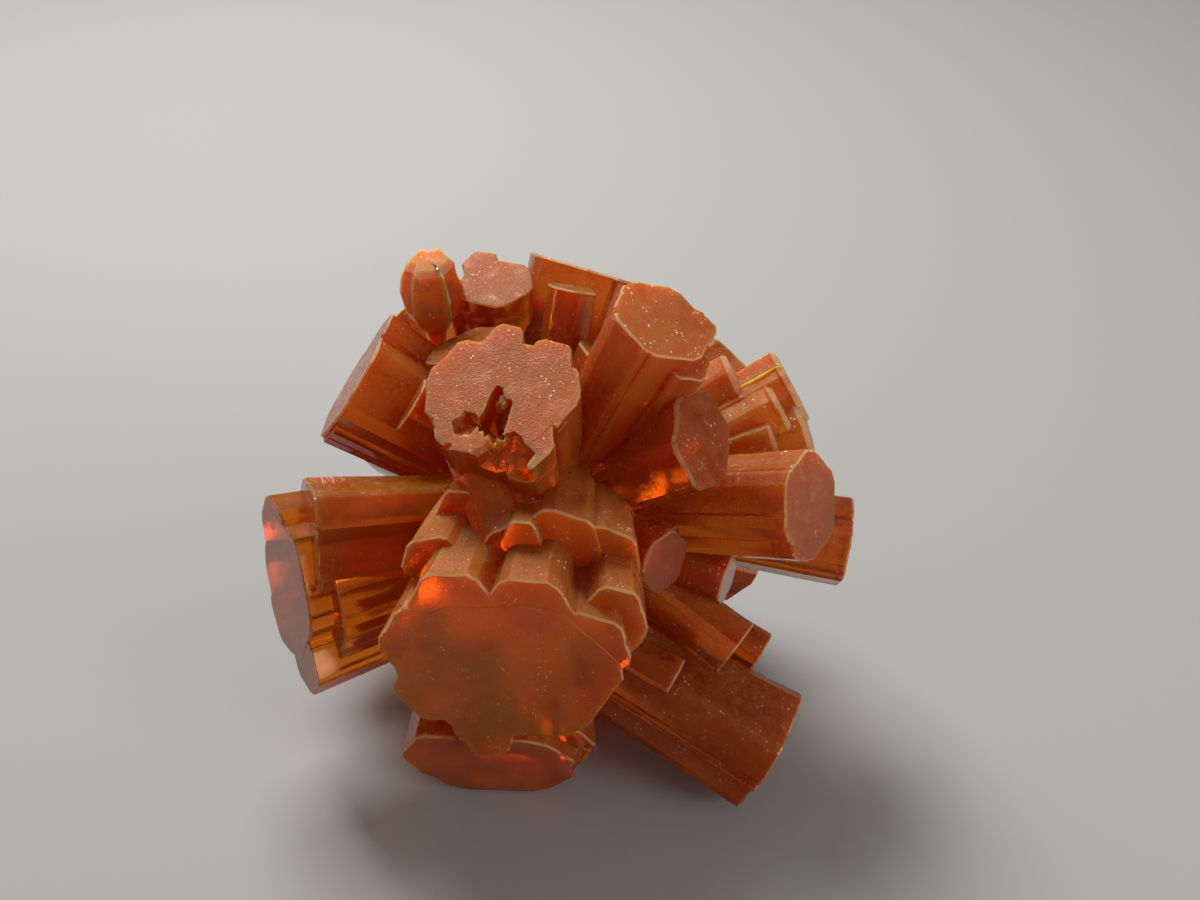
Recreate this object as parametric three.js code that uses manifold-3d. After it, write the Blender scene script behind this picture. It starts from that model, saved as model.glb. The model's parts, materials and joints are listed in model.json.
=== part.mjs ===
// A star cluster of aragonite: flat-ended prisms that grew outwards from one point and into each other,
// so that the whole cluster is one solid. Millimetres, +Z up, standing on Z = 0 with the viewer at -Y.

import * as THREE from 'three';
import { mergeVertices } from 'three/addons/utils/BufferGeometryUtils.js';
import Module from 'manifold-3d';

// The point that the crystals grew from, above the surface that the cluster stands on.
const HEART = new THREE.Vector3(-1.3, -0.2, 11.5);

// Aragonite grows as three crystals in one, so a column is a six-sided prism with its corners cut.
// The cut is a share of each side, and the rim is the narrow bevel round the flat end.
const CORNERS = 6;
const CORNER_CUT = 0.14;
const RIM = 0.16;

// A crystal is a sheaf of columns that is narrower at its root than at its end, by this much.
const WAIST = 0.72;

// How far a pit starts above the end that it is sunk into, so that it cuts it cleanly.
const OVERRUN = 0.5;

// Slivers narrower than this, left where two crystals' faces nearly meet, are closed up.
const SLIVER = 0.01;

const wasm = await Module();
wasm.setup();

// A crystal starts at its root, given from the heart, and its flat end is reach away.
// Heading is 0 towards the viewer and 90 to the right; rise is above the horizon. Both in degrees.
function crystal(heading, rise, reach, root, columns, more = {}) {
  return { heading, rise, reach, root, columns, waist: WAIST, pits: [], ...more };
}

// One column of a crystal, where x is to the right and y is up for someone who looks at its end.
// Wide and high measure its hexagon from corner to corner. Back is how far its end is set back.
function column(x, y, wide, high, turn = 0, back = 0) {
  return { x, y, wide, high, turn, back };
}

// A hollow in the end of a crystal, which gets narrower to this share at its depth.
function pit(x, y, wide, high, turn, depth, narrow) {
  return { x, y, wide, high, turn, depth, narrow };
}

const FRONT = [
  crystal(-7, -3, 11.0, [0.3, 0, 0], [
    column(0.1, -0.4, 11.4, 9.8, 8),
    column(-3.8, 0.7, 4.2, 5.4, 0),
    column(-2.1, 3.1, 4.7, 5.2, 6),
    column(1.2, 3.1, 4.8, 5.2, 0),
    column(3.7, 1.5, 4.6, 4.8, -14),
    column(-1.2, -4.2, 3.4, 4.6, 10),
    column(-3.3, -2.0, 4.4, 4.6, 10),
    column(2.3, -2.2, 3.8, 4.4, 30),
    column(4.7, 2.1, 3.6, 5.4, -10, 0.9),
    column(2.1, 4.7, 4.4, 4.0, -18, 3.3),
    column(4.1, 3.9, 3.8, 4.0, -24, 3.4),
    column(0.5, 4.8, 2.2, 3.4, 0, 2.7),
    column(-3.3, 3.7, 3.8, 3.6, 20, 2.3),
    column(-2.7, 4.4, 2.6, 4.0, 0, 4.6),
  ]),
  crystal(21, -19, 6.5, [-3.1, -2.2, 6.4], [
    column(0, -0.2, 2.8, 2.8, 10),
    column(1.4, -0.4, 2.2, 3.2, 0, 1.0),
  ], { waist: 1 }),
  crystal(-3, -18, 11.0, [-1.4, 1.4, -5.3], [
    column(0.2, -0.1, 9.0, 6.4, 0),
    column(-2.4, 0.6, 4.4, 5.0, 0),
    column(3.0, 0.5, 4.4, 4.6, 0, 0.8),
  ]),
];

const TOP = [
  crystal(-20, 68, 10.2, [-0.2, 0, 0], [
    column(0.3, -0.3, 7.2, 7.4, 0),
    column(-1.8, 0.2, 3.4, 5.4, 0),
    column(-0.6, 2.0, 2.6, 4.2, 0),
    column(1.8, 1.5, 3.2, 4.4, 0),
    column(2.7, 0.4, 2.8, 4.2, 0),
    column(2.4, -2.3, 2.8, 3.4, 0),
  ], {
    pits: [
      pit(0.4, -1.2, 1.5, 3.0, 0, 2.6, 0.5),
      pit(2.0, -3.5, 3.2, 3.0, 0, 1.5, 0.7),
      pit(-0.6, -2.0, 1.5, 1.4, 0, 0.6, 0.6),
    ],
  }),
  crystal(77, 65, 13.4, [0.3, 0, 0], [
    column(-0.3, -0.4, 6.2, 5.4, 0),
    column(0.9, 0.3, 2.8, 2.9, 0),
    column(0.6, -1.8, 3.2, 2.8, 0),
    column(-1.0, -2.1, 3.4, 3.0, 0, 0.8),
  ]),
  crystal(-20, 82, 8.6, [-1.6, 7.5, 0.9], [
    column(0.1, 0, 4.2, 4.4, 0),
    column(-1.3, 1.3, 2.2, 2.6, 10),
    column(-1.2, -0.6, 2.4, 3.0, 0, 0.7),
  ]),
  crystal(-10, 84, 8.0, [-4.9, 5.8, 3.5], [
    column(0, 0, 3.8, 4.0, 15),
  ], { waist: 0.3 }),
  crystal(148, 57, 11.8, [-0.8, 2.9, -0.8], [
    column(0, 0, 7.2, 5.6, 0),
    column(-2.0, 0.3, 3.4, 4.2, 10),
    column(1.9, -0.6, 3.2, 3.6, 0, 0.6),
    column(3.5, 0.4, 3.4, 4.2, 0, 0.9),
  ]),
  crystal(156, 65, 11.3, [0, 0, 0], [
    column(0, 0, 2.8, 2.6, 0),
  ]),
];

const LEFT = [
  crystal(-96, 33, 10.9, [0.4, 1.6, 0.5], [
    column(0.4, -0.4, 6.4, 6.6, 10),
    column(-1.5, 1.2, 3.4, 3.6, 0),
    column(1.4, -1.3, 3.8, 4.0, 0, 0.2),
    column(2.4, 1.7, 3.0, 3.2, 20, 2.6),
  ]),
  crystal(-72, 7, 11.5, [0.3, -1.1, 0.6], [
    column(0, -0.4, 5.4, 7.2, 0),
    column(0.9, 1.8, 3.2, 3.2, 15),
    column(1.2, -1.0, 3.2, 3.4, 0, 0.2),
    column(1.1, -2.8, 3.0, 2.8, 0, 0.5),
  ]),
  crystal(-60, 4, 13.0, [-0.2, 0.9, -1.6], [
    column(-0.6, -0.2, 6.4, 8.6, 0),
    column(-1.9, 2.0, 4.0, 4.6, 0),
    column(1.4, -3.2, 3.8, 3.6, 0),
    column(-1.2, -2.4, 4.2, 4.2, 10),
    column(1.9, -0.4, 3.6, 5.4, 0, 1.2),
  ]),
];

const RIGHT = [
  crystal(61, 20, 14.6, [1.2, 2.4, -1.5], [
    column(-0.1, 0.1, 5.9, 5.6, 0),
    column(0.9, 0.7, 3.2, 3.0, 0),
    column(-1.2, -0.6, 3.6, 3.4, 20),
  ]),
  crystal(61, 37, 11.8, [0, 0, 0], [
    column(-0.1, 0.5, 5.6, 4.4, 35),
    column(1.5, 2.2, 2.2, 2.4, 0, 0.7),
  ]),
  crystal(100, 27, 13.3, [1.2, 0.7, -0.6], [
    column(0, 0.2, 4.2, 4.6, 0),
    column(-1.6, 0.4, 2.8, 3.6, 10, 0.9),
    column(0.5, 1.9, 3.0, 3.0, 0, 2.2),
  ]),
  crystal(92, 21, 13.4, [0.9, 0.8, -0.5], [
    column(0, 0, 3.6, 3.8, 20),
    column(-1.4, 0.7, 2.6, 2.8, 0, 1.5),
  ]),
  crystal(84, -7, 15.0, [0.6, -0.1, 0.8], [
    column(0, 0, 4.4, 4.6, 15),
    column(0.5, 1.0, 3.0, 3.0, 0),
  ]),
  crystal(69, -22, 16.2, [-2.2, -2.2, -2.9], [
    column(0, 0.2, 6.6, 5.8, 0),
    column(-1.6, 1.0, 3.6, 3.8, 0),
    column(-1.8, -1.0, 3.4, 3.2, 10, 0.2),
    column(0.6, -1.3, 3.4, 3.0, 0),
    column(-1.6, 2.4, 2.4, 2.2, 0, 6.0),
  ]),
  crystal(61, -26, 11.4, [0.9, 0, 0.1], [
    column(0, 0, 3.8, 3.6, 10),
  ]),
  crystal(68, -24, 12.2, [1.0, 0.7, -1.5], [
    column(0, 0, 2.8, 2.8, 20),
  ]),
  crystal(48, 8, 8.6, [0, 0, 0], [
    column(0, 0, 3.6, 3.4, 0),
    column(1.7, -0.4, 2.2, 2.6, 10, 0.8),
  ]),
  crystal(66, -6, 10.4, [0, 0, 0], [
    column(0, 0, 2.8, 3.0, 15),
  ]),
];

const BACK = [
  crystal(172, 12, 11.6, [0, 0, 0], [
    column(0, 0, 9.0, 8.4, 10),
    column(-2.9, 1.2, 4.0, 4.4, 0),
    column(2.3, 2.4, 4.0, 4.2, 24),
    column(2.6, -2.0, 3.8, 4.2, 0, 0.8),
  ]),
  crystal(-150, 26, 12.0, [0, 0, 0], [
    column(0, 0, 5.8, 6.2, 0),
    column(1.8, 1.0, 2.8, 3.4, 10),
  ]),
  crystal(128, 12, 13.0, [0, 0, 0], [
    column(0, 0, 5.8, 6.0, 20),
  ]),
  crystal(-140, -7, 12.4, [0, 0, 0], [
    column(0, 0, 6.0, 5.6, 0),
    column(-1.8, 1.0, 3.2, 3.4, 20),
  ]),
  crystal(-105, -22, 12.4, [0, 0, 0], [
    column(0, 0, 5.2, 5.4, 10),
  ]),
  crystal(112, -28, 12.8, [0, 0, 0], [
    column(0, 0, 5.8, 5.8, 0),
  ]),
  crystal(-166, -36, 12.0, [0, 0, 0], [
    column(0, 0, 6.0, 5.8, 15),
    column(1.6, 1.4, 3.2, 3.2, 0, 0.8),
  ]),
  crystal(152, -36, 11.8, [0, 0, 0], [
    column(0, 0, 4.8, 5.0, 0),
  ]),
  crystal(-168, 42, 12.2, [0, 0, 0], [
    column(0, 0, 3.8, 3.8, 10),
  ]),
  crystal(112, 62, 9.0, [0, 0, 0], [
    column(0, 0, 4.2, 4.0, 0),
  ]),
  crystal(-118, 66, 9.4, [0, 0, 0], [
    column(0, 0, 4.4, 4.2, 15),
  ]),
  crystal(-130, -44, 10.2, [0, 0, 0], [
    column(0, 0, 4.4, 4.2, 10),
  ]),
];

// The crystal that points straight down, whose flat end is what the cluster stands on.
const FOOT = [
  crystal(0, -90, HEART.z, [0, 0, 0], [
    column(0.9, 0, 9.0, 8.4, 10),
    column(-2.6, 1.2, 4.2, 4.4, 0, 0.7),
  ]),
];

const CRYSTALS = [...FRONT, ...TOP, ...LEFT, ...RIGHT, ...BACK, ...FOOT];

const CENTRE = new THREE.Vector2();

// A hexagon whose corners are cut, stretched and then turned, in the plane of the crystal's end.
function outline({ x, y, wide, high, turn }) {
  const points = [];
  const spot = new THREE.Vector2();
  const half = new THREE.Vector2(wide / 2, high / 2);
  const angle = THREE.MathUtils.degToRad(turn);
  for (let i = 0; i < CORNERS; i += 1) {
    const here = cornerAt(i);
    const next = cornerAt(i + 1);
    for (const share of [CORNER_CUT, 1 - CORNER_CUT]) {
      spot.lerpVectors(here, next, share).multiply(half).rotateAround(CENTRE, angle);
      points.push([x + spot.x, y + spot.y]);
    }
  }
  return points;
}

function cornerAt(i) {
  const angle = (i / CORNERS) * 2 * Math.PI;
  return new THREE.Vector2(Math.cos(angle), Math.sin(angle));
}

// A closed mesh through rings of points, each ring the same outline at its own depth and size.
function skin(rings) {
  const count = rings[0].length;
  const index = [];
  for (let k = 0; k + 1 < rings.length; k += 1) {
    for (let i = 0; i < count; i += 1) {
      const j = (i + 1) % count;
      const [a, b, c, d] = [k * count + i, k * count + j, (k + 1) * count + j, (k + 1) * count + i];
      index.push(a, b, c, a, c, d);
    }
  }
  const last = (rings.length - 1) * count;
  for (let i = 1; i + 1 < count; i += 1) {
    index.push(0, i + 1, i);
    index.push(last, last + i, last + i + 1);
  }
  const geometry = new THREE.BufferGeometry();
  geometry.setAttribute('position', new THREE.Float32BufferAttribute(rings.flat(2), 3));
  geometry.setIndex(index);
  return toSolid(geometry);
}

// From a crystal's own frame, with its root at zero and its end at z = reach, to the cluster's.
function placement({ heading, rise, root }) {
  const h = THREE.MathUtils.degToRad(heading);
  const e = THREE.MathUtils.degToRad(rise);
  const out = new THREE.Vector3(Math.sin(h) * Math.cos(e), -Math.cos(h) * Math.cos(e), Math.sin(e));
  const right = new THREE.Vector3(Math.cos(h), Math.sin(h), 0);
  const up = new THREE.Vector3().crossVectors(out, right);
  const start = new THREE.Vector3(...root).add(HEART);
  return new THREE.Matrix4().makeBasis(right, up, out).setPosition(start);
}

// A ring of the outline at a depth, drawn in to a share of its size about a centre.
function ring(edge, matrix, depth, share, [cx, cy]) {
  return edge.map(([x, y]) => (
    new THREE.Vector3(cx + (x - cx) * share, cy + (y - cy) * share, depth).applyMatrix4(matrix).toArray()
  ));
}

function columnSolid(part, one, matrix) {
  const edge = outline(part);
  const end = one.reach - part.back;
  const middle = [part.x, part.y];
  const bevelled = 1 - 2 * RIM / Math.min(part.wide, part.high);
  return skin([
    ring(edge, matrix, 0, one.waist, [0, 0]),
    ring(edge, matrix, end - RIM, 1, middle),
    ring(edge, matrix, end, bevelled, middle),
  ]);
}

function pitSolid(part, one, matrix) {
  const edge = outline(part);
  const middle = [part.x, part.y];
  return skin([
    ring(edge, matrix, one.reach - part.depth, part.narrow, middle),
    ring(edge, matrix, one.reach + OVERRUN, 1, middle),
  ]);
}

function crystalSolid(one) {
  const matrix = placement(one);
  const columns = one.columns.map((part) => columnSolid(part, one, matrix));
  const pits = one.pits.map((part) => pitSolid(part, one, matrix));
  const whole = columns.reduce((sum, next) => sum.add(next));
  return pits.reduce((rest, next) => rest.subtract(next), whole);
}

function toSolid(geometry) {
  const merged = mergeVertices(geometry, 1e-4);
  return new wasm.Manifold(new wasm.Mesh({
    numProp: 3,
    vertProperties: new Float32Array(merged.attributes.position.array),
    triVerts: new Uint32Array(merged.index.array),
  }));
}

function toGeometry(solid) {
  const { vertProperties, triVerts } = solid.getMesh();
  const geometry = new THREE.BufferGeometry();
  geometry.setAttribute('position', new THREE.BufferAttribute(new Float32Array(vertProperties), 3));
  geometry.setIndex(new THREE.BufferAttribute(new Uint32Array(triVerts), 1));
  geometry.computeVertexNormals();
  return geometry;
}

const fused = CRYSTALS.map(crystalSolid).reduce((sum, next) => sum.add(next));
const cluster = fused.simplify(SLIVER);

const aragonite = new THREE.MeshStandardMaterial({ color: 0xa8501c, roughness: 0.45, metalness: 0 });
const mesh = new THREE.Mesh(toGeometry(cluster), aragonite);
mesh.name = 'crystal_cluster';

const group = new THREE.Group();
group.add(mesh);

export default group;
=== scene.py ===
# %% [markdown]
# Aragonite star cluster
#
# This lesson dresses one small mineral specimen: a cluster of aragonite crystals, about 29 mm across, that
# grew out of one point. The construction model gives every crystal its place and size. Here each crystal
# gets what the eye sees close up: narrow facets along its sides, growth ledges, chipped rims, broken spots
# and a stone that light soaks into.

import json
import math

import bpy
import numpy as np
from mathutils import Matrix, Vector

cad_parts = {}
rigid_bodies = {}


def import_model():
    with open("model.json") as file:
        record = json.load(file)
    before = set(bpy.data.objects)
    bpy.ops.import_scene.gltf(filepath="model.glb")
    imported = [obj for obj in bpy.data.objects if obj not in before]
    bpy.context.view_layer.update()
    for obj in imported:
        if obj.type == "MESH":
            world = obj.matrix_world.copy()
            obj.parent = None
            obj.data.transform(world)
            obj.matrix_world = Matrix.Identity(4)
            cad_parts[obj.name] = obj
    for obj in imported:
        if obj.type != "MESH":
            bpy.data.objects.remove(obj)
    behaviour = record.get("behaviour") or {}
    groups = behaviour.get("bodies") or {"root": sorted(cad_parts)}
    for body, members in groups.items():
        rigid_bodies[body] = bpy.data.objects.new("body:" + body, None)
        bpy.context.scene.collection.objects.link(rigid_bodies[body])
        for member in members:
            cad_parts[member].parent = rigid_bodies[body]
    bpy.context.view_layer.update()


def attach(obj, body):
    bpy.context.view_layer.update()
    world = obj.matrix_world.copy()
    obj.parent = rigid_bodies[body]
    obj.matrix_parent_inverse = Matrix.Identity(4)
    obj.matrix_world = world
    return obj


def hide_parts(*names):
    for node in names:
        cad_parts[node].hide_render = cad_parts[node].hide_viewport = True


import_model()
MM = 0.001

# %% [markdown]
# The camera
#
# The specimen is seen from in front and above, as on a table. The lens is a plain 50 mm one, and the heart
# of the cluster, from which all crystals point away, is the camera's anchor: it is placed so that the heart
# lands a little left of and below the middle of the picture.

# %% Camera
HEART = np.array([-1.3, -0.2, 11.5])
PICTURE = (1200, 900)
HEART_PIXEL = (535, 510)
LENS, SENSOR = 50.0, 36.0
LOOK_DOWN = math.radians(35)
DISTANCE = 83.3
CLIP_FROM, CLIP_TO = 0.001, 5.0


def aim_camera():
    data = bpy.data.cameras.new("camera")
    data.lens = LENS
    data.sensor_width = SENSOR
    data.clip_start = CLIP_FROM
    data.clip_end = CLIP_TO
    camera = bpy.data.objects.new("camera", data)
    bpy.context.scene.collection.objects.link(camera)
    bpy.context.scene.camera = camera
    pixel = DISTANCE * SENSOR / LENS / PICTURE[0]
    sideways = (HEART_PIXEL[0] - PICTURE[0] / 2) * pixel
    upward = (PICTURE[1] / 2 - HEART_PIXEL[1]) * pixel
    back = np.array([0, -math.cos(LOOK_DOWN), math.sin(LOOK_DOWN)])
    up = np.array([0, math.sin(LOOK_DOWN), math.cos(LOOK_DOWN)])
    place = HEART - sideways * np.array([1, 0, 0]) - upward * up + DISTANCE * back
    camera.location = place * MM
    camera.rotation_euler = (math.pi / 2 - LOOK_DOWN, 0, 0)
    return camera


camera = aim_camera()
print("camera at", [round(c, 4) for c in camera.location])

# %% [markdown]
# The crystals' places
#
# A crystal is given as on a compass: its heading is 0 towards the viewer and 90 to the right, and its rise
# is above the horizon. It is a sheaf of parallel columns, because aragonite grows as several crystals side
# by side. Each column has its place, width, height and turn in the plane of the flat end, and some end
# farther back than the rest. The last values say how narrow the crystal is at its root, how frosted its skin
# is, how clear and how red the stone is inside, and how worn its rims are. All lengths are in millimetres.

# %% Table of crystals
WAIST = 0.72
FROST, CLEAR, RED = 0.5, 0.88, 0.5


def crystal(name, heading, rise, reach, root, columns, waist=WAIST, frost=FROST, clear=CLEAR, red=RED,
            worn=1.0):
    return {
        "name": name, "heading": heading, "rise": rise, "reach": reach, "root": root, "columns": columns,
        "waist": waist, "frost": frost, "clear": clear, "red": red, "worn": worn,
    }


def column(x, y, wide, high, turn=0, back=0):
    return {"x": x, "y": y, "wide": wide, "high": high, "turn": turn, "back": back}


FRONT = [
    crystal("front", -7, -3, 11.0, [0.3, 0, 0], [
        column(0.1, -0.4, 11.4, 9.8, 8),
        column(-3.8, 0.7, 4.2, 5.4, 0),
        column(-2.1, 3.1, 4.7, 5.2, 6),
        column(1.2, 3.1, 4.8, 5.2, 0),
        column(3.7, 1.5, 4.6, 4.8, -14),
        column(-1.2, -4.2, 3.4, 4.6, 10),
        column(-3.3, -2.0, 4.4, 4.6, 10),
        column(2.3, -2.2, 3.8, 4.4, 30),
        column(4.7, 2.1, 3.6, 5.4, -10, 0.9),
        column(2.1, 4.7, 4.4, 4.0, -18, 3.3),
        column(4.1, 3.9, 3.8, 4.0, -24, 3.4),
        column(0.5, 4.8, 2.2, 3.4, 0, 2.7),
        column(-3.3, 3.7, 3.8, 3.6, 20, 2.3),
        column(-2.7, 4.4, 2.6, 4.0, 0, 4.6),
    ], frost=0.8, clear=0.75, red=0.35),
    crystal("finger", 21, -19, 6.5, [-3.1, -2.2, 6.4], [
        column(0, -0.2, 2.8, 2.8, 10),
        column(1.4, -0.4, 2.2, 3.2, 0, 1.0),
    ], waist=1, frost=0.7, red=0.45),
    crystal("bottom_front", -3, -18, 11.0, [-1.4, 1.4, -5.3], [
        column(0.2, -0.1, 9.0, 6.4, 0),
        column(-2.4, 0.6, 4.4, 5.0, 0),
        column(3.0, 0.5, 4.4, 4.6, 0, 0.8),
    ], frost=0.45, clear=0.7, red=0.65),
]

TOP = [
    crystal("pitted", -20, 68, 10.2, [-0.2, 0, 0], [
        column(0.3, -0.3, 7.2, 7.4, 0),
        column(-1.8, 0.2, 3.4, 5.4, 0),
        column(-0.6, 2.0, 2.6, 4.2, 0),
        column(1.8, 1.5, 3.2, 4.4, 0),
        column(2.7, 0.4, 2.8, 4.2, 0),
        column(2.4, -2.3, 2.8, 3.4, 0),
    ], frost=0.85, clear=0.8, red=0.45),
    crystal("right_top", 77, 65, 13.4, [0.3, 0, 0], [
        column(-0.3, -0.4, 6.2, 5.4, 0),
        column(0.9, 0.3, 2.8, 2.9, 0),
        column(0.6, -1.8, 3.2, 2.8, 0),
        column(-1.0, -2.1, 3.4, 3.0, 0, 0.8),
    ], frost=0.75, clear=0.6, red=0.6),
    crystal("lavender", -20, 82, 8.6, [-1.6, 7.5, 0.9], [
        column(0.1, 0, 4.2, 4.4, 0),
        column(-1.3, 1.3, 2.2, 2.6, 10),
        column(-1.2, -0.6, 2.4, 3.0, 0, 0.7),
    ], frost=0.95, red=0.6),
    crystal("knob", -10, 84, 8.0, [-4.9, 5.8, 3.5], [
        column(0, 0, 3.8, 4.0, 15),
    ], waist=0.3, frost=1.5, clear=0.15, red=-0.2, worn=3.5),
    crystal("long_back", 148, 57, 11.8, [-0.8, 2.9, -0.8], [
        column(0, 0, 7.2, 5.6, 0),
        column(-2.0, 0.3, 3.4, 4.2, 10),
        column(1.9, -0.6, 3.2, 3.6, 0, 0.6),
        column(3.5, 0.4, 3.4, 4.2, 0, 0.9),
    ], frost=0.6, red=0.45),
    crystal("strip", 156, 65, 11.3, [0, 0, 0], [
        column(0, 0, 2.8, 2.6, 0),
    ], frost=0.5, red=0.3),
]

LEFT = [
    crystal("upper_left", -96, 33, 10.9, [0.4, 1.6, 0.5], [
        column(0.4, -0.4, 6.4, 6.6, 10),
        column(-1.5, 1.2, 3.4, 3.6, 0),
        column(1.4, -1.3, 3.8, 4.0, 0, 0.2),
        column(2.4, 1.7, 3.0, 3.2, 20, 2.6),
    ], frost=0.5, clear=0.8, red=0.75),
    crystal("left_up", -72, 7, 11.5, [0.3, -1.1, 0.6], [
        column(0, -0.4, 5.4, 7.2, 0),
        column(0.9, 1.8, 3.2, 3.2, 15),
        column(1.2, -1.0, 3.2, 3.4, 0, 0.2),
        column(1.1, -2.8, 3.0, 2.8, 0, 0.5),
    ], frost=0.3, clear=0.85, red=0.1),
    crystal("left_low", -60, 4, 13.0, [-0.2, 0.9, -1.6], [
        column(-0.6, -0.2, 6.4, 8.6, 0),
        column(-1.9, 2.0, 4.0, 4.6, 0),
        column(1.4, -3.2, 3.8, 3.6, 0),
        column(-1.2, -2.4, 4.2, 4.2, 10),
        column(1.9, -0.4, 3.6, 5.4, 0, 1.2),
    ], frost=0.15, clear=0.85, red=0.0),
]

RIGHT = [
    crystal("right", 61, 20, 14.6, [1.2, 2.4, -1.5], [
        column(-0.1, 0.1, 5.9, 5.6, 0),
        column(0.9, 0.7, 3.2, 3.0, 0),
        column(-1.2, -0.6, 3.6, 3.4, 20),
    ], frost=0.6, clear=0.7, red=0.55),
    crystal("small_red", 61, 37, 11.8, [0, 0, 0], [
        column(-0.1, 0.5, 5.6, 4.4, 35),
        column(1.5, 2.2, 2.2, 2.4, 0, 0.7),
    ], frost=0.8, red=0.8, worn=2.0),
    crystal("right_back_high", 100, 27, 13.3, [1.2, 0.7, -0.6], [
        column(0, 0.2, 4.2, 4.6, 0),
        column(-1.6, 0.4, 2.8, 3.6, 10, 0.9),
        column(0.5, 1.9, 3.0, 3.0, 0, 2.2),
    ], frost=0.95, clear=0.6, red=0.3, worn=2.5),
    crystal("right_back_low", 92, 21, 13.4, [0.9, 0.8, -0.5], [
        column(0, 0, 3.6, 3.8, 20),
        column(-1.4, 0.7, 2.6, 2.8, 0, 1.5),
    ], frost=0.9, clear=0.6, red=0.3, worn=2.5),
    crystal("thin_right", 84, -7, 15.0, [0.6, -0.1, 0.8], [
        column(0, 0, 4.4, 4.6, 15),
        column(0.5, 1.0, 3.0, 3.0, 0),
    ], frost=0.4, clear=0.85, red=0.55),
    crystal("bottom_right", 69, -22, 16.2, [-2.2, -2.2, -2.9], [
        column(0, 0.2, 6.6, 5.8, 0),
        column(-1.6, 1.0, 3.6, 3.8, 0),
        column(-1.8, -1.0, 3.4, 3.2, 10, 0.2),
        column(0.6, -1.3, 3.4, 3.0, 0),
        column(-1.6, 2.4, 2.4, 2.2, 0, 6.0),
    ], frost=0.45, red=0.7),
    crystal("small_low_a", 61, -26, 11.4, [0.9, 0, 0.1], [
        column(0, 0, 3.8, 3.6, 10),
    ], frost=0.5, red=0.8),
    crystal("small_low_b", 68, -24, 12.2, [1.0, 0.7, -1.5], [
        column(0, 0, 2.8, 2.8, 20),
    ], frost=0.5, red=0.8),
    crystal("small_mid", 48, 8, 8.6, [0, 0, 0], [
        column(0, 0, 3.6, 3.4, 0),
        column(1.7, -0.4, 2.2, 2.6, 10, 0.8),
    ], frost=0.5, red=0.9),
    crystal("small_low_c", 66, -6, 10.4, [0, 0, 0], [
        column(0, 0, 2.8, 3.0, 15),
    ], frost=0.5, red=0.9),
]

BACK = [
    crystal("back", 172, 12, 11.6, [0, 0, 0], [
        column(0, 0, 9.0, 8.4, 10),
        column(-2.9, 1.2, 4.0, 4.4, 0),
        column(2.3, 2.4, 4.0, 4.2, 24),
        column(2.6, -2.0, 3.8, 4.2, 0, 0.8),
    ], frost=0.75),
    crystal("back_left", -150, 26, 12.0, [0, 0, 0], [
        column(0, 0, 5.8, 6.2, 0),
        column(1.8, 1.0, 2.8, 3.4, 10),
    ], frost=0.5, clear=0.92, red=0.35),
    crystal("back_right", 128, 12, 13.0, [0, 0, 0], [
        column(0, 0, 5.8, 6.0, 20),
    ], red=0.4),
    crystal("back_left_low", -140, -7, 12.4, [0, 0, 0], [
        column(0, 0, 6.0, 5.6, 0),
        column(-1.8, 1.0, 3.2, 3.4, 20),
    ], frost=0.4, clear=0.92, red=0.3),
    crystal("left_foot", -105, -22, 12.4, [0, 0, 0], [
        column(0, 0, 5.2, 5.4, 10),
    ], red=0.6),
    crystal("right_foot", 112, -28, 12.8, [0, 0, 0], [
        column(0, 0, 5.8, 5.8, 0),
    ], red=0.65),
    crystal("back_foot", -166, -36, 12.0, [0, 0, 0], [
        column(0, 0, 6.0, 5.8, 15),
        column(1.6, 1.4, 3.2, 3.2, 0, 0.8),
    ], red=0.7),
    crystal("back_right_foot", 152, -36, 11.8, [0, 0, 0], [
        column(0, 0, 4.8, 5.0, 0),
    ], red=0.6),
    crystal("back_top", -168, 42, 12.2, [0, 0, 0], [
        column(0, 0, 3.8, 3.8, 10),
    ], frost=0.7, red=0.35),
    crystal("right_stub", 112, 62, 9.0, [0, 0, 0], [
        column(0, 0, 4.2, 4.0, 0),
    ]),
    crystal("left_stub", -118, 66, 9.4, [0, 0, 0], [
        column(0, 0, 4.4, 4.2, 15),
    ]),
    crystal("left_low_stub", -130, -44, 10.2, [0, 0, 0], [
        column(0, 0, 4.4, 4.2, 10),
    ]),
]

FOOT = [
    crystal("foot", 0, -90, HEART[2], [0, 0, 0], [
        column(0.9, 0, 9.0, 8.4, 10),
        column(-2.6, 1.2, 4.2, 4.4, 0, 0.7),
    ], red=0.7),
]

CRYSTALS = FRONT + TOP + LEFT + RIGHT + BACK + FOOT
print(len(CRYSTALS), "crystals,", sum(len(c["columns"]) for c in CRYSTALS), "columns")

# %% [markdown]
# From the end of a crystal to the cluster
#
# Each crystal is made lying in its own frame: x to the right and y up as someone sees it who looks at its
# flat end, and z out along its length. Three unit vectors turn that frame into place. They are kept, because
# the stone's veils and streaks run along the crystal they are in, and the material needs that direction.

# %% Crystal frames


def crystal_frame(one):
    heading, rise = math.radians(one["heading"]), math.radians(one["rise"])
    out = np.array([
        math.sin(heading) * math.cos(rise), -math.cos(heading) * math.cos(rise), math.sin(rise),
    ])
    right = np.array([math.cos(heading), math.sin(heading), 0.0])
    return np.array([right, np.cross(out, right), out]), HEART + np.array(one["root"])


FRAMES = [crystal_frame(one) for one in CRYSTALS]
print("front crystal points along", FRAMES[0][0][2].round(3))

# %% [markdown]
# The outline of a column
#
# Aragonite's six-sided prism is really three crystals grown into one, and its corners are cut. Under a loupe
# the sides aren't flat: they are bundles of narrow facets with grooves between them, all running along the
# crystal. So each side of the outline is broken into short pieces, some points are drawn in a little, and
# here and there lies a groove. Points only move inwards, so the crystal never outgrows its planned size.

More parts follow.
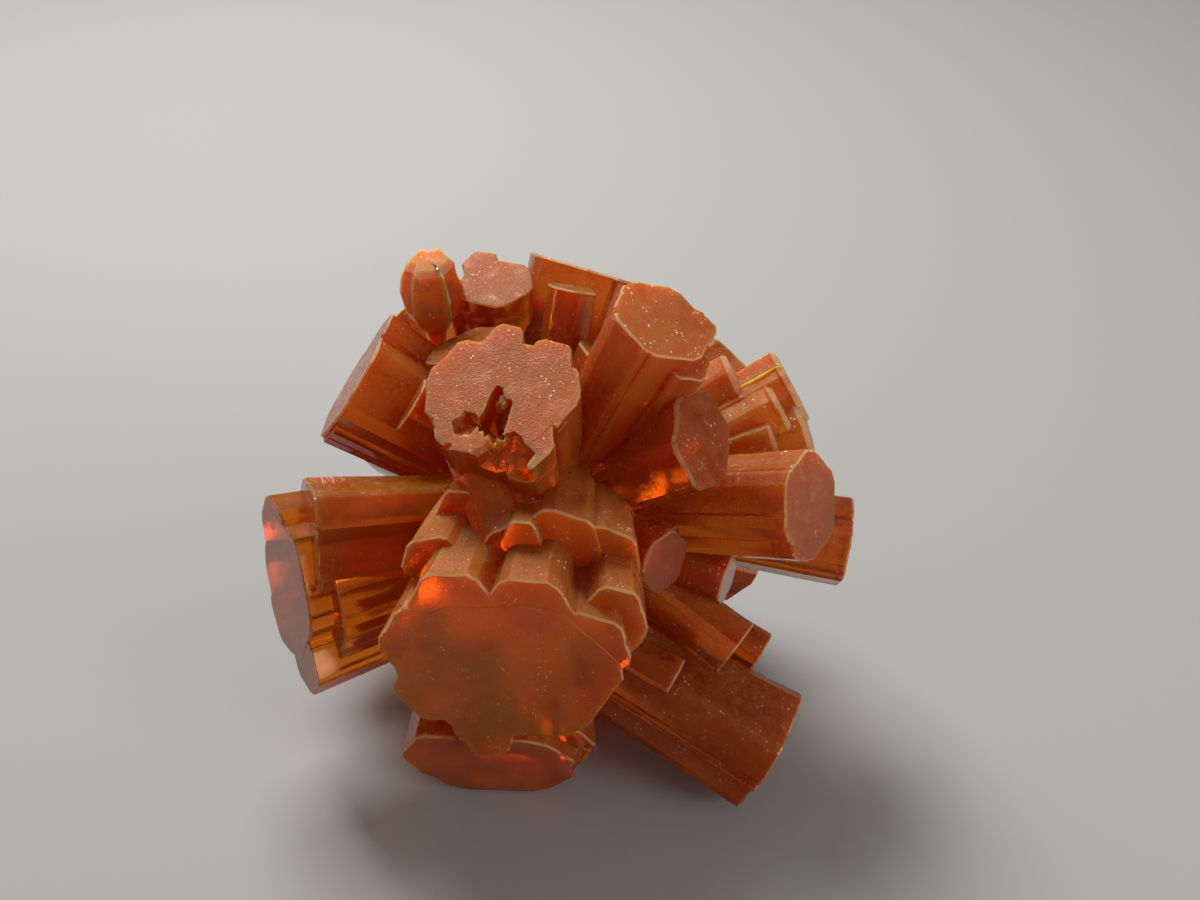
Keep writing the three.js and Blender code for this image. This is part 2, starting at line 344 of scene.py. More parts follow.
# %% Outline with facets and grooves
CORNERS = 6
CORNER_CUT = 0.14
FACET = (0.4, 1.2)
INSIDE_BY = 0.015
DRAWN_IN = (0.0, 0.09)
GROOVE_SHARE = 0.08
GROOVE_DEPTH = (0.06, 0.14)
GROOVE_HALF = 0.09
GROOVE_ROOM = 5 * GROOVE_HALF
BREAK_SHIFT = 0.28


def corner_points(part):
    angle = np.arange(CORNERS + 1) / CORNERS * 2 * math.pi
    hexagon = np.stack([np.cos(angle), np.sin(angle)], 1)
    shares = np.array([CORNER_CUT, 1 - CORNER_CUT])[None, :, None]
    cut = hexagon[:-1, None] * (1 - shares) + hexagon[1:, None] * shares
    cut = cut.reshape(-1, 2) * [part["wide"] / 2, part["high"] / 2]
    turn = math.radians(part["turn"])
    spin = np.array([[math.cos(turn), math.sin(turn)], [-math.sin(turn), math.cos(turn)]])
    return cut @ spin + [part["x"], part["y"]]


def depth_inside(part, point):
    """How far a point lies inside the column's outline, seen on the end. It is negative outside."""
    corners = corner_points(part)
    sides = np.roll(corners, -1, axis=0) - corners
    inward = np.column_stack([-sides[:, 1], sides[:, 0]])
    return (((point - corners) * inward).sum(1) / np.linalg.norm(inward, axis=1)).min()


def faceted_outline(part, rng, uneven=1.0):
    """Points round the column, and the direction that is inwards at each."""
    points, inward = [], []
    corners = corner_points(part)
    for a, b in zip(corners, np.roll(corners, -1, axis=0)):
        along = b - a
        length = np.linalg.norm(along)
        normal = np.array([-along[1], along[0]]) / length
        count = max(1, int(round(length / rng.uniform(*FACET))))
        breaks = (np.arange(count) + rng.uniform(-BREAK_SHIFT, BREAK_SHIFT, count)) / count
        breaks[0] = 0
        for t in breaks:
            points.append(a + along * t + normal * (INSIDE_BY + rng.uniform(*DRAWN_IN) * uneven))
            inward.append(normal)
        if length > GROOVE_ROOM and rng.random() < GROOVE_SHARE * length:
            middle = (breaks[-1] + 1) / 2
            depth = rng.uniform(*GROOVE_DEPTH)
            for step, deep in ((-1, INSIDE_BY), (0, depth), (1, INSIDE_BY)):
                points.append(a + along * middle + along / length * step * GROOVE_HALF + normal * deep)
                inward.append(normal)
    return np.array(points), np.array(inward)


sample, _ = faceted_outline(CRYSTALS[0]["columns"][0], np.random.default_rng(1))
print("the big front column has", len(sample), "lengthwise facets")

# %% [markdown]
# The body of a column
#
# Growth isn't even along the length either. The sides wander by a few hundredths of a millimetre, and near
# the end they step in where a layer stopped growing, which leaves thin ledges. The flat end has a worn rim of
# uneven width, and its face is a shade hollow here and there. All of this is real mesh, because the edges
# catch the light and show in the silhouette. The most worn crystal is a rounded nugget on a short neck.

# %% Column meshes
RING_STEP = 0.85
FEWEST_RINGS = 4
BASE_UNEVEN = 0.2
WANDER = 0.035
LEDGE_COUNT = (0, 3)
LEDGE_HIGH = 0.045
LEDGE_IN = (0.01, 0.03)
FIRST_LEDGE, LAST_LEDGE = 0.2, 0.45
RIM = (0.05, 0.15)
WIDEST_RIM = 0.36
RIM_SLOPE = 0.8
BELOW_RIM = 0.05
RIM_IN = 0.005
CAP_RINGS = (0.8, 0.56, 0.3)
CAP_RELIEF = 0.02
STEP_BETWEEN_COLUMNS = 0.006
LEVEL_WITHIN = 0.1
LOST_RIM = 0.1
NUGGET_WORN = 3
NUGGET_LONG, NECK = 1.15, 0.55
SIDE, EDGE, END, BROKEN = 0, 1, 2, 3


def smooth_noise(rng, rows, count, amount):
    """Random heights that change slowly round and along a column."""
    rough = rng.normal(0, 1, (rows, count))
    for axis in (0, 1, 1):
        rough = (np.roll(rough, 1, axis) + rough * 2 + np.roll(rough, -1, axis)) / 4
    return np.abs(rough) * amount * 2


def end_of(one, part, place):
    """How far out a column's flat end is. The foot keeps its full length, for it stands on the floor."""
    inside_by = 0 if one["name"] == "foot" else INSIDE_BY
    return one["reach"] - part["back"] - inside_by - place * STEP_BETWEEN_COLUMNS


def share_at(one, from_end, end, narrow):
    """How wide a column is at a distance from its end, as a share of its full width."""
    share = one["waist"] + (1 - one["waist"]) * (1 - from_end / end)
    if one["worn"] < NUGGET_WORN:
        return share
    ball = 1 - ((from_end - narrow) / (narrow * NUGGET_LONG)) ** 2
    return np.maximum(share * NECK, np.sqrt(np.maximum(ball, 0)))


def growth_ledges(end, last, count, rng):
    """Where layers stopped growing: the depth, the points round the column, and how far they step in."""
    ledges = []
    for _ in range(int(rng.integers(*LEDGE_COUNT))):
        depth = last - rng.uniform(FIRST_LEDGE, LAST_LEDGE * end)
        first, span = rng.integers(count), rng.integers(count // 6, count // 2 + 1)
        where = (np.arange(count) - first) % count < span
        ledges.append((depth, where, rng.uniform(*LEDGE_IN)))
    return ledges


def lies_in_neighbour(one, part, spot):
    """Whether a rim is lost inside another column that ends level with this one."""
    level = [
        other for other in one["columns"]
        if other is not part and other["back"] <= part["back"] + LEVEL_WITHIN
    ]
    return any(depth_inside(other, spot) > LOST_RIM for other in level)


def column_mesh(one, part, place, rng):
    rougher = math.sqrt(one["worn"])
    uneven = (one["frost"] + BASE_UNEVEN) * rougher
    outline, inward = faceted_outline(part, rng, uneven)
    count = len(outline)
    middle = np.array([part["x"], part["y"]])
    end = end_of(one, part, place)
    narrow = min(part["wide"], part["high"]) / 2
    rim = rng.uniform(*RIM, count) * one["worn"]
    rim = np.minimum((rim + np.roll(rim, 1) + np.roll(rim, -1)) / 3, narrow * WIDEST_RIM)
    last = end - RIM[1] * one["worn"] - BELOW_RIM
    ledges = growth_ledges(end, last, count, rng)
    depths = list(np.linspace(0, last, max(FEWEST_RINGS, int(end / RING_STEP * rougher))))
    for depth, _, _ in ledges:
        depths += [depth, depth + LEDGE_HIGH]
    depths = np.sort(np.array(depths))
    wander = smooth_noise(rng, len(depths), count, WANDER * uneven * rougher)
    rings = []
    for depth, stray in zip(depths, wander):
        share = share_at(one, end - depth, end, narrow)
        drawn = stray.copy()
        for start, where, amount in ledges:
            drawn += where * amount * (depth > start + LEDGE_HIGH / 2)
        rings.append((outline * share + inward * drawn[:, None], np.full(count, depth)))
    last_in = sum((where * amount for _, where, amount in ledges), np.zeros(count))[:, None] * inward
    share = share_at(one, rim, end, narrow)[:, None]
    rings.append((outline * share + last_in + inward * RIM_IN, end - rim))
    inner = outline * share + last_in + inward * rim[:, None] * RIM_SLOPE
    rings.append((inner, np.full(count, end)))
    for share in CAP_RINGS:
        hollow = np.abs(rng.normal(0, CAP_RELIEF / 2, count)).clip(0, CAP_RELIEF)
        hollow = (hollow + np.roll(hollow, 1) + np.roll(hollow, -1)) / 3
        rings.append((middle + (inner - middle) * share, end - hollow))
    points = np.concatenate([np.column_stack([flat, high]) for flat, high in rings])
    points, faces, kinds = closed_mesh(points, count, len(rings), len(depths))
    for i, spot in enumerate(outline):
        if lies_in_neighbour(one, part, spot):
            kinds[len(depths) * count + i] = END
    return points, faces, kinds


def closed_mesh(points, count, rows, side_rows):
    """Faces through rings of points, with a kind for each face, closed by a fan at both ends."""
    ring = np.arange(count)
    after = (ring + 1) % count
    faces, kinds = [], []
    for row in range(rows - 1):
        a, b = row * count, (row + 1) * count
        kind = SIDE if row < side_rows else EDGE if row == side_rows else END
        faces += np.column_stack([a + ring, a + after, b + after, b + ring]).tolist()
        kinds += [kind] * count
    last = (rows - 1) * count
    tip, root = len(points), len(points) + 1
    points = np.concatenate([points, [points[last:].mean(0)], [points[:count].mean(0)]])
    faces += np.column_stack([last + ring, last + after, np.full(count, tip)]).tolist()
    faces += np.column_stack([after, ring, np.full(count, root)]).tolist()
    kinds += [END] * count + [SIDE] * count
    return points, faces, kinds


points, faces, kinds = column_mesh(CRYSTALS[0], CRYSTALS[0]["columns"][0], 0, np.random.default_rng(1))
print("its mesh has", len(points), "points and", len(faces), "faces")

# %% [markdown]
# Pits, chips and breaks
#
# The end of the crystal at the top has two hollows and a notch that never healed, the lowest crystal at the
# front is broken on one side, and every rim has small chips. A break has no crystal faces, only rough curved
# ones, so each cutter is a ball whose surface is pushed about, and it is taken away from the crystals. Two
# balls of the same kind are left in the hollows as crumbs.

# %% Cutters and crumbs
BALL_RINGS, BALL_SPOKES = 7, 12
SPOKE_SHIFT = 0.1
CHIP_ROUGHNESS, HOLE_ROUGHNESS = 0.16, 0.2
LARGEST_BUMP = 0.35


def rough_ball(size, rng, roughness):
    """A closed, uneven ball. Size is its half widths along x, y and z."""
    rows = []
    for row in range(1, BALL_RINGS):
        low = math.pi * row / BALL_RINGS
        around = np.arange(BALL_SPOKES) / BALL_SPOKES * 2 * math.pi
        around = around + rng.uniform(-SPOKE_SHIFT, SPOKE_SHIFT, BALL_SPOKES)
        ball = np.column_stack([
            math.sin(low) * np.cos(around), math.sin(low) * np.sin(around),
            np.full(BALL_SPOKES, -math.cos(low)),
        ])
        bumps = rng.normal(0, roughness, (BALL_SPOKES, 1)).clip(-LARGEST_BUMP, LARGEST_BUMP)
        rows.append(ball * (1 + bumps))
    points = np.concatenate(rows) * size
    points, faces, _ = closed_mesh(points, BALL_SPOKES, BALL_RINGS - 1, BALL_RINGS)
    return points, faces, [BROKEN] * len(faces)


def ball_at(x, y, wide, high, deep, below=0.0):
    """A ball's place and size on a crystal's end. Deep is half its height, and below how far it is sunk."""
    return {"x": x, "y": y, "size": (wide / 2, high / 2, deep), "below": below}


HOLES = {
    "pitted": [
        ball_at(0.4, -1.2, 1.5, 2.9, 2.6),
        ball_at(1.7, -3.4, 2.9, 2.6, 1.5),
        ball_at(-0.6, -2.0, 1.4, 1.3, 0.6),
    ],
    "bottom_front": [
        ball_at(4.6, -0.3, 1.6, 2.6, 1.3),
        ball_at(3.9, -2.3, 2.2, 1.6, 0.9),
    ],
}
CRUMBS = {
    "pitted": [
        ball_at(0.55, -0.3, 0.7, 1.1, 0.45, 0.6),
        ball_at(1.0, -2.5, 0.5, 0.7, 0.4, 0.7),
    ],
}

# %% [markdown]
# Making the meshes
#
# Every column, cutter and crumb becomes a mesh object that remembers, face by face, which crystal it belongs
# to and whether a face is side, rim, end or break. A whole number on a face comes through a join unharmed,
# while numbers on points would be wrong wherever two crystals cut each other.

# %% Mesh objects
FIRST_SEED = 100
CHIP_COUNT = (1, 4)
CHIP_SIZE = (0.16, 0.42)
CHIP_STRETCH = (0.7, 1.4)
CHIP_OUT, CHIP_UP = 0.35, 0.25
CHIPS_FROM_WIDTH = 3
WHOLE = bpy.data.collections.new("columns")
CUTTERS = bpy.data.collections.new("cutters")
LOOSE = bpy.data.collections.new("crumbs")
for group in (WHOLE, CUTTERS, LOOSE):
    bpy.context.scene.collection.children.link(group)


def place_mesh(name, mesh, owner, group):
    points, faces, kinds = mesh
    turn, start = FRAMES[owner]
    data = bpy.data.meshes.new(name)
    data.from_pydata(((points @ turn + start) * MM).tolist(), [], faces)
    for label, values in (("owner", [owner] * len(faces)), ("kind", kinds)):
        data.attributes.new(label, "INT", "FACE").data.foreach_set("value", np.array(values, np.int32))
    piece = bpy.data.objects.new(name, data)
    group.objects.link(piece)
    return piece


def chips(one, part, place, rng):
    """Rough balls that bite into the rim of a column."""
    corners = corner_points(part)
    end = end_of(one, part, place)
    middle = np.array([part["x"], part["y"]])
    for _ in range(int(rng.integers(*CHIP_COUNT))):
        size = rng.uniform(*CHIP_SIZE)
        corner = corners[rng.integers(len(corners))]
        if any(depth_inside(other, corner) > -size for other in one["columns"] if other is not part):
            continue
        out = (corner - middle) / np.linalg.norm(corner - middle)
        where = np.array([*(corner + out * size * CHIP_OUT), end + size * CHIP_UP])
        ball = (size, size * rng.uniform(*CHIP_STRETCH), size)
        points, faces, kinds = rough_ball(ball, rng, CHIP_ROUGHNESS)
        yield points + where, faces, kinds


def gets_chips(one, part):
    wide_enough = min(part["wide"], part["high"]) > CHIPS_FROM_WIDTH
    return wide_enough and one["name"] != "foot" and one["worn"] < NUGGET_WORN


def build_columns():
    for owner, one in enumerate(CRYSTALS):
        rng = np.random.default_rng(FIRST_SEED + owner)
        for place, part in enumerate(one["columns"]):
            place_mesh("column", column_mesh(one, part, place, rng), owner, WHOLE)
            if gets_chips(one, part):
                for chip in chips(one, part, place, rng):
                    place_mesh("chip", chip, owner, CUTTERS)
        for table, group in ((HOLES, CUTTERS), (CRUMBS, LOOSE)):
            for spot in table.get(one["name"], []):
                points, faces, kinds = rough_ball(spot["size"], rng, HOLE_ROUGHNESS)
                points = points + [spot["x"], spot["y"], one["reach"] - spot["below"]]
                place_mesh("ball", (points, faces, kinds), owner, group)


build_columns()

# %% [markdown]
# One stone
#
# The columns grew into each other, so they are joined into one closed mesh, the cutters are taken away from
# it, and the crumbs are added. Each step is a Boolean modifier with the manifold solver, which is quick and
# exact on closed meshes.

# %% Join and cut


def join_all():
    first = WHOLE.objects[0]
    WHOLE.objects.unlink(first)
    bpy.context.scene.collection.objects.link(first)
    for operation, group in (("UNION", WHOLE), ("DIFFERENCE", CUTTERS), ("UNION", LOOSE)):
        join = first.modifiers.new(group.name, "BOOLEAN")
        join.operation = operation
        join.solver = "MANIFOLD"
        join.operand_type = "COLLECTION"
        join.collection = group
    seen = first.evaluated_get(bpy.context.evaluated_depsgraph_get())
    data = bpy.data.meshes.new_from_object(seen)
    data.name = "aragonite_cluster"
    piece = bpy.data.objects.new("aragonite_cluster", data)
    bpy.context.scene.collection.objects.link(piece)
    for group in (WHOLE, CUTTERS, LOOSE):
        for old in list(group.objects):
            bpy.data.objects.remove(old)
        bpy.data.collections.remove(group)
    bpy.data.objects.remove(first)
    return piece


cluster = join_all()
mesh = cluster.data
corners_total = sum(len(p.vertices) - 2 for p in mesh.polygons)
print("one stone:", len(mesh.vertices), "points,", corners_total, "triangles")

# %% [markdown]
# What each face knows
#
# The material draws veils along each crystal, so every face corner is given its place in its own crystal's
# frame, in millimetres. It is also given how frosted, how clear and how red the stone is there. Frost lies
# thickest on worn rims and on faces that look up, where the skin is etched and dust has settled, and on the
# faces that look up it also paints a sky sheen. A break has less of it.

# %% Attributes for the material
SIDE_FROST = 0.4
FROST_AND_SHEEN_ON_TOP = 0.9
MORE_ON_RIMS = 0.4
LESS_ON_BREAKS = 0.7
GRAIN_SHIFT = (7.3, 3.1, 0)
SHARP_FROM = 3


def read_faces(data):
    count = len(data.polygons)
    owner, kind = np.zeros(count, np.int32), np.zeros(count, np.int32)
    data.attributes["owner"].data.foreach_get("value", owner)
    data.attributes["kind"].data.foreach_get("value", kind)
    normal = np.zeros(count * 3, np.float32)
    data.polygons.foreach_get("normal", normal)
    total = np.zeros(count, np.int32)
    data.polygons.foreach_get("loop_total", total)
    return owner, kind, normal.reshape(-1, 3), total


def write_looks(data):
    owner, kind, normal, total = read_faces(data)
    spot = np.zeros(len(data.loops), np.int32)
    data.loops.foreach_get("vertex_index", spot)
    place = np.zeros(len(data.vertices) * 3, np.float32)
    data.vertices.foreach_get("co", place)
    place = place.reshape(-1, 3)[spot] / MM
    of_corner = np.repeat(owner, total)
    turns = np.array([turn for turn, _ in FRAMES])[of_corner]
    starts = np.array([start for _, start in FRAMES])[of_corner]
    grain = np.einsum("nij,nj->ni", turns, place - starts)
    grain += of_corner[:, None] * GRAIN_SHIFT
    skin, clear, red = (np.array([c[key] for c in CRYSTALS])[owner] for key in ("frost", "clear", "red"))
    # Faces that look up get more frost, and with it the tan that also paints a sky sheen there.
    frost = np.clip(skin * (SIDE_FROST + FROST_AND_SHEEN_ON_TOP * normal[:, 2]), 0, 1)
    frost = np.where(kind == EDGE, np.clip(frost + MORE_ON_RIMS, 0, 1), frost)
    frost = np.where(kind == BROKEN, frost * LESS_ON_BREAKS, frost)
    layer = data.attributes.new("grain", "FLOAT_VECTOR", "CORNER")
    layer.data.foreach_set("vector", grain.astype(np.float32).ravel())
    for label, values in (("frost", frost), ("clear", clear), ("red", red), ("face_kind", kind)):
        layer = data.attributes.new(label, "FLOAT", "FACE")
        layer.data.foreach_set("value", values.astype(np.float32))
    return frost


frost = write_looks(mesh)
mesh.shade_smooth()
mesh.set_sharp_from_angle(angle=math.radians(SHARP_FROM))
print("frost runs from", round(float(frost.min()), 2), "to", round(float(frost.max()), 2))

# %% [markdown]
# Translucent aragonite
#
# Aragonite is calcium carbonate, here coloured orange-brown by iron. Inside it is as clear as weak tea, with
# milky veils along the crystal, and light that enters comes out elsewhere, redder the farther it has gone.
# So part of the surface is see-through, with an absorption that takes blue first, and the rest scatters light
# under the skin. Red travels farthest there, which makes the thick parts glow deep orange.

# %% Material helpers


def linear(hex_colour):
    """An sRGB hex colour as the linear colour that the shader works with."""
    channels = [int(hex_colour[i:i + 2], 16) / 255 for i in (1, 3, 5)]
    return (*[c / 12.92 if c <= 0.04045 else ((c + 0.055) / 1.055) ** 2.4 for c in channels], 1)


def add_node(tree, kind, settings=None, **links):
    """Adds a node. Settings are its properties, and links are its inputs: a value or another's output."""
    node = tree.nodes.new(kind)
    for name, value in (settings or {}).items():
        setattr(node, name, value)
    for name, value in links.items():
        key = int(name[1:]) if name[0] == "i" and name[1:].isdigit() else name.replace("_", " ")
        if isinstance(value, bpy.types.NodeSocket):
            tree.links.new(value, node.inputs[key])
        else:
            node.inputs[key].default_value = value
    return node


def new_material(name):
    material = bpy.data.materials.new(name)
    material.use_nodes = True
    material.node_tree.nodes.clear()
    return material, material.node_tree


# %% [markdown]
# The stone's own numbers
#
# Aragonite bends light by 1.53 to 1.69 depending on direction, and the middle is used. A fresh face is nearly
# smooth and an etched one is matte. Veils are a millimetre or two wide and several long, the sugary grain of
# the frosted skin is about a tenth of a millimetre, and the dust on it shows as pale specks mixed with
# painted glints.

# %% Numbers of the stone
STONE_IOR = 1.6
SMOOTH_FACE, ETCHED_FACE = 0.06, 0.5
SMOOTH_GLOSS, ETCHED_GLOSS = 0.45, 0.15
VEIL_WIDE_MM = 1.6
VEIL_STRETCH = 0.22
VEIL_RANGE = (0.45, 0.75)
VEIL_NOISE, ETCH_NOISE, MOTTLE_NOISE = (3.0, 0.6), (4.0, 0.65), (3.0, 0.75)
PLAIN_DETAIL = 2.0
VEIL_SHARE = 0.18
CLOUDS_PER_MM = 0.28
CLOUD_SWING = 1.2
ETCH_PER_MM = 1.1
ETCH_RANGE, ETCH_SWING = (0.3, 0.7), (0.5, 1.5)
TAN_SHARE = 0.5
MOTTLE_MM = 0.5
MOTTLE_RANGE = (0.42, 0.7)
MOTTLE_SHARE = 0.15
SPECK_MM = 0.25
SPECK_RIM = (0.24, 0.16)
DUST_AND_GLINT_RANGE = (0.48, 0.62)
# How strongly the painted highlight on the rims is mixed in.
RIM_HIGHLIGHT_SHARE = 0.7
KIND_WITHIN = 0.1
FROST_BLOCKS = 0.5
SUGAR_MM = 0.11
LINE_STRETCH = 0.05
LINES_PER_MM = 4.5
LINE_HEIGHT = 0.2
BUMP_ON_SMOOTH, MORE_ON_FROST = 0.05, 0.75
BUMP_HEIGHT = 0.00006
GLOW_MM = (4.0, 1.2, 0.25)
BODY_ORANGE = linear("#F09236")
BODY_RED = linear("#CC4A10")
# Tan of the frosted skin, which on faces that look up also paints the sky sheen.
FROST_AND_SHEEN_TAN = linear("#A8683A")
SKIN_SHADE = linear("#6E3414")
VEIL_PALE = linear("#F0B472")
# Colour of the dust specks and of the painted glints among them.
DUST_AND_GLINT_WHITE = linear("#F2E6DC")
# Colour of the painted highlight on the rims.
RIM_HIGHLIGHT_PALE = linear("#E4B494")
TEA_ABSORPTION = linear("#FDE366")
TEA_DENSITY = 300.0
GLOSS_TINT = linear("#E8B48A")
print("glow reaches", GLOW_MM, "mm in red, green and blue")

# %% Short names for nodes


def attribute(tree, label, output="Fac"):
    return add_node(tree, "ShaderNodeAttribute", {"attribute_name": label}).outputs[output]


def maths(tree, operation, *values, clamp=False):
    inputs = {f"i{i}": value for i, value in enumerate(values)}
    settings = {"operation": operation, "use_clamp": clamp}
    return add_node(tree, "ShaderNodeMath", settings, **inputs).outputs[0]


def remap(tree, value, source, target=(0.0, 1.0)):
    return add_node(tree, "ShaderNodeMapRange", Value=value, From_Min=source[0], From_Max=source[1],
                    To_Min=target[0], To_Max=target[1]).outputs[0]


def noise(tree, at, per_mm, detail, roughness=0.5):
    texture = add_node(tree, "ShaderNodeTexNoise", i0=at, Scale=per_mm, Detail=detail, Roughness=roughness)
    return texture.outputs["Fac"]


def stretched(tree, grain, share):
    """The place in the crystal's own frame, drawn out along its length."""
    return add_node(tree, "ShaderNodeMapping", i0=grain, Scale=(1, 1, share)).outputs[0]


def mix_colour(tree, factor, first, second):
    mixed = add_node(tree, "ShaderNodeMix", {"data_type": "RGBA"})
    for slot, value in (("Factor_Float", factor), ("A_Color", first), ("B_Color", second)):
        socket = next(s for s in mixed.inputs if s.identifier == slot)
        if isinstance(value, bpy.types.NodeSocket):
            tree.links.new(value, socket)
        else:
            socket.default_value = value
    return next(s for s in mixed.outputs if s.identifier == "Result_Color")


# %% [markdown]
# The stone in layers
#
# The body is orange to red in wide clouds, with pale veils along the crystal. Over it lies the frosted skin,
# tan and faintly mottled, with a painted sky sheen on faces that look up, then the dust with painted glints,
# and last the pale rims, a painted highlight. Frost also makes the face rougher, less glossy and less
# see-through, and gives it its sugary grain. Dust and glint specks are opaque.

# %% Aragonite


def body_colour(tree, spot, grain):
    veil_noise = noise(tree, stretched(tree, grain, VEIL_STRETCH), 1 / VEIL_WIDE_MM, *VEIL_NOISE)
    veil = remap(tree, veil_noise, VEIL_RANGE)
    cloud_noise = noise(tree, spot, CLOUDS_PER_MM, PLAIN_DETAIL)
    clouds = maths(tree, "MULTIPLY_ADD", cloud_noise, CLOUD_SWING, -CLOUD_SWING / 2)
    redness = maths(tree, "ADD", clouds, attribute(tree, "red"), clamp=True)
    body = mix_colour(tree, redness, BODY_ORANGE, BODY_RED)
    return mix_colour(tree, maths(tree, "MULTIPLY", veil, VEIL_SHARE), body, VEIL_PALE)


def skin_colour(tree, body, spot, frost_and_sheen):
    # The tan mix paints frosted skin, and on faces that look up a sky sheen as well.
    tan_skin_and_sheen = mix_colour(tree, maths(tree, "MULTIPLY", frost_and_sheen, TAN_SHARE), body, FROST_AND_SHEEN_TAN)
    mottle_noise = noise(tree, spot, 1 / MOTTLE_MM, *MOTTLE_NOISE)
    mottle = remap(tree, mottle_noise, MOTTLE_RANGE, (0.0, MOTTLE_SHARE))
    return mix_colour(tree, maths(tree, "MULTIPLY", mottle, frost_and_sheen), tan_skin_and_sheen, SKIN_SHADE)


# Pale specks on frosted faces: dust, and painted glints as well.
def dust_and_glint_specks(tree, spot, etch_noise, frost_and_sheen):
    cells = add_node(tree, "ShaderNodeTexVoronoi", i0=spot, Scale=1 / SPECK_MM)
    speck = remap(tree, cells.outputs["Distance"], SPECK_RIM)
    dust_and_glints_here = maths(tree, "MULTIPLY", remap(tree, etch_noise, DUST_AND_GLINT_RANGE), frost_and_sheen)
    return maths(tree, "MULTIPLY", speck, dust_and_glints_here)


# A painted highlight: rim faces are coloured pale, more where they are frosted.
def rim_highlight_part(tree, frost_and_sheen):
    on_rim = maths(tree, "COMPARE", attribute(tree, "face_kind"), EDGE, KIND_WITHIN)
    return maths(tree, "MULTIPLY", maths(tree, "MULTIPLY", on_rim, frost_and_sheen), RIM_HIGHLIGHT_SHARE)


def sugary_bump(tree, spot, grain, frost_and_sheen):
    sugar = noise(tree, spot, 1 / SUGAR_MM, PLAIN_DETAIL)
    lines = noise(tree, stretched(tree, grain, LINE_STRETCH), LINES_PER_MM, PLAIN_DETAIL)
    height = maths(tree, "MULTIPLY_ADD", lines, LINE_HEIGHT, sugar)
    strength = maths(tree, "MULTIPLY_ADD", frost_and_sheen, MORE_ON_FROST, BUMP_ON_SMOOTH)
    bump = add_node(tree, "ShaderNodeBump", Height=height, Strength=strength, Distance=BUMP_HEIGHT)
    return bump.outputs[0]


def aragonite():
    material, tree = new_material("translucent aragonite")
    place = add_node(tree, "ShaderNodeTexCoord").outputs["Object"]
    spot = add_node(tree, "ShaderNodeVectorMath", {"operation": "SCALE"}, i0=place, Scale=1 / MM).outputs[0]
    grain = attribute(tree, "grain", "Vector")
    etch_noise = noise(tree, spot, ETCH_PER_MM, *ETCH_NOISE)
    etch = remap(tree, etch_noise, ETCH_RANGE, ETCH_SWING)
    # How frosted a face is, which also carries the painted sky sheen on faces that look up.
    frost_and_sheen = maths(tree, "MULTIPLY", etch, attribute(tree, "frost"), clamp=True)
    specks_and_glints = dust_and_glint_specks(tree, spot, etch_noise, frost_and_sheen)

    skin = skin_colour(tree, body_colour(tree, spot, grain), spot, frost_and_sheen)
    dust_and_glint_colour = mix_colour(tree, specks_and_glints, skin, DUST_AND_GLINT_WHITE)
    colour = mix_colour(tree, rim_highlight_part(tree, frost_and_sheen), dust_and_glint_colour, RIM_HIGHLIGHT_PALE)

    unblocked = maths(tree, "MULTIPLY_ADD", frost_and_sheen, -FROST_BLOCKS, 1.0)
    bare = maths(tree, "MULTIPLY", unblocked, maths(tree, "SUBTRACT", 1.0, specks_and_glints))
    through = maths(tree, "MULTIPLY", bare, attribute(tree, "clear"))
    stone = add_node(
        tree, "ShaderNodeBsdfPrincipled", {"subsurface_method": "RANDOM_WALK"}, Base_Color=colour,
        Roughness=remap(tree, frost_and_sheen, (0.0, 1.0), (SMOOTH_FACE, ETCHED_FACE)),
        Specular_IOR_Level=remap(tree, frost_and_sheen, (0.0, 1.0), (SMOOTH_GLOSS, ETCHED_GLOSS)),
        Specular_Tint=GLOSS_TINT, IOR=STONE_IOR, Transmission_Weight=through,
        Subsurface_Weight=1.0, Subsurface_Radius=GLOW_MM, Subsurface_Scale=MM,
        Normal=sugary_bump(tree, spot, grain, frost_and_sheen),
    )
    inside = add_node(tree, "ShaderNodeVolumeAbsorption", Color=TEA_ABSORPTION, Density=TEA_DENSITY)
    output = add_node(tree, "ShaderNodeOutputMaterial")
    tree.links.new(stone.outputs[0], output.inputs["Surface"])
    tree.links.new(inside.outputs[0], output.inputs["Volume"])
    return material


mesh.materials.clear()
mesh.materials.append(aragonite())
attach(cluster, "root")
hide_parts("crystal_cluster")
print("material", mesh.materials[0].name, "with", len(mesh.materials[0].node_tree.nodes), "nodes")

# %% [markdown]
# Floor and light
#
# The specimen stands on a plain pale floor. The main light is a large soft window above, behind and to the
# left, so that it shines down through the crystals and makes their front ends glow. A small one low at the
# front right gives the glossy faces something to mirror, and the sky around fills the shadows.

# %% Floor
FLOOR_HALF = 0.6
BOARD_GREY = linear("#AFADA8")
BOARD_ROUGHNESS = 0.85


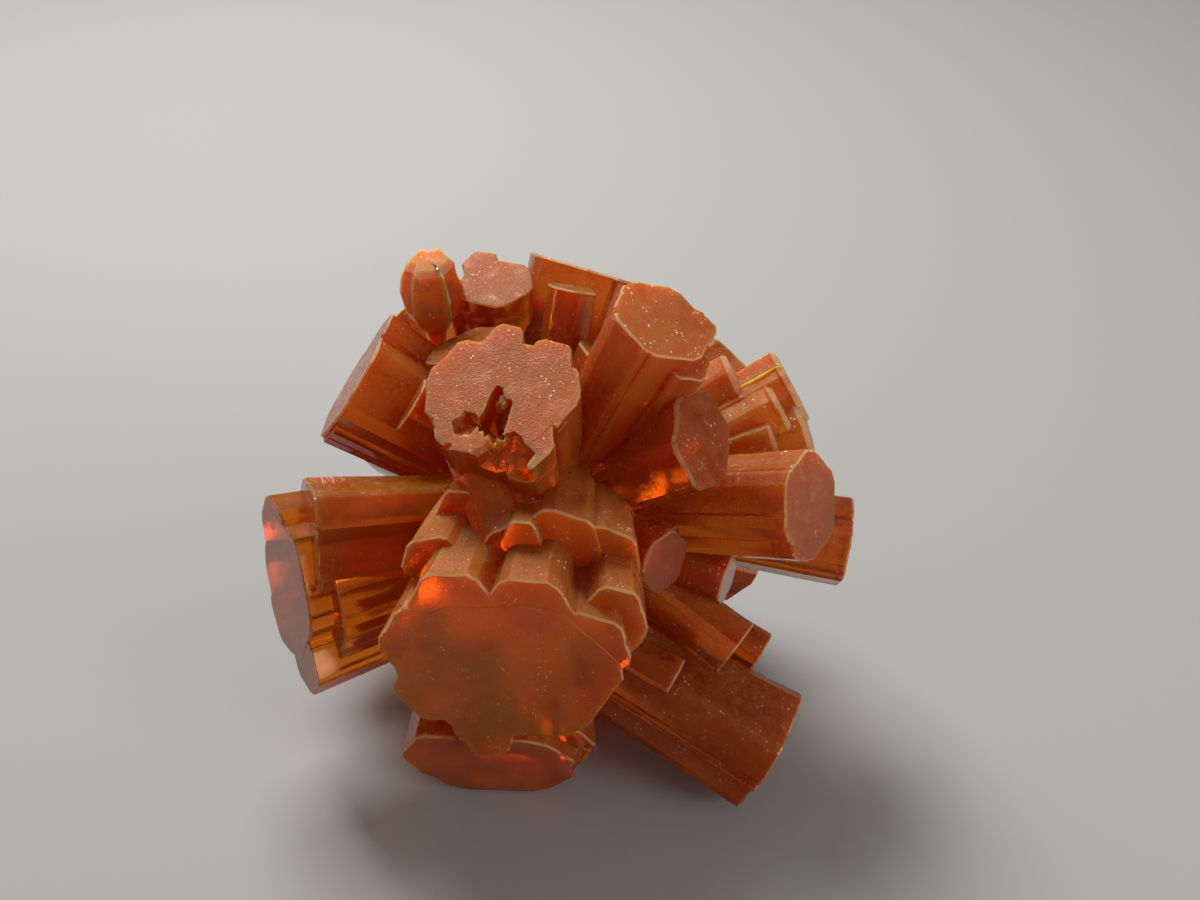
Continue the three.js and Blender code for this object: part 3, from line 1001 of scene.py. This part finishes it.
def pale_floor():
    data = bpy.data.meshes.new("floor")
    h = FLOOR_HALF
    data.from_pydata([(-h, -h, 0), (h, -h, 0), (h, h, 0), (-h, h, 0)], [], [(0, 1, 2, 3)])
    floor = bpy.data.objects.new("floor", data)
    bpy.context.scene.collection.objects.link(floor)
    material, tree = new_material("matte pale board")
    board = add_node(tree, "ShaderNodeBsdfPrincipled", Base_Color=BOARD_GREY, Roughness=BOARD_ROUGHNESS)
    output = add_node(tree, "ShaderNodeOutputMaterial")
    tree.links.new(board.outputs[0], output.inputs["Surface"])
    data.materials.append(material)
    return floor


pale_floor()
print("floor", 2 * FLOOR_HALF, "m wide")

# %% Light
KEY_WINDOW = {"place": (-45, 95, 150), "size": 80, "power": 0.34}
FRONT_WINDOW = {"place": (112, -78, 38), "size": 56, "power": 0.08}
SKY, SKY_STRENGTH = linear("#DADDE0"), 0.24
MOST_BOUNCES, THROUGH_BOUNCES, DULL_BOUNCES, GLOSS_BOUNCES = 6, 5, 2, 2


def soft_window(name, place, size, power):
    """A square area light at a place in millimetres, aimed at the heart."""
    data = bpy.data.lights.new(name, "AREA")
    data.size = size * MM
    data.energy = power
    lamp = bpy.data.objects.new(name, data)
    lamp.location = np.array(place) * MM
    towards = Vector((HEART - np.array(place)).tolist())
    lamp.rotation_euler = towards.to_track_quat("-Z", "Y").to_euler()
    bpy.context.scene.collection.objects.link(lamp)
    return lamp


def soft_sky():
    world = bpy.data.worlds.new("soft sky")
    world.use_nodes = True
    background = world.node_tree.nodes["Background"]
    background.inputs["Color"].default_value = SKY
    background.inputs["Strength"].default_value = SKY_STRENGTH
    bpy.context.scene.world = world


def limit_bounces():
    """Paths through the stone are cut short, which saves time and darkens only the deepest places."""
    cycles = bpy.context.scene.cycles
    cycles.max_bounces = MOST_BOUNCES
    cycles.transmission_bounces = THROUGH_BOUNCES
    cycles.diffuse_bounces = DULL_BOUNCES
    cycles.glossy_bounces = GLOSS_BOUNCES


soft_window("key window", **KEY_WINDOW)
soft_window("front window", **FRONT_WINDOW)
soft_sky()
limit_bounces()
bpy.context.scene.view_settings.view_transform = "Standard"
print("two windows and a soft sky")
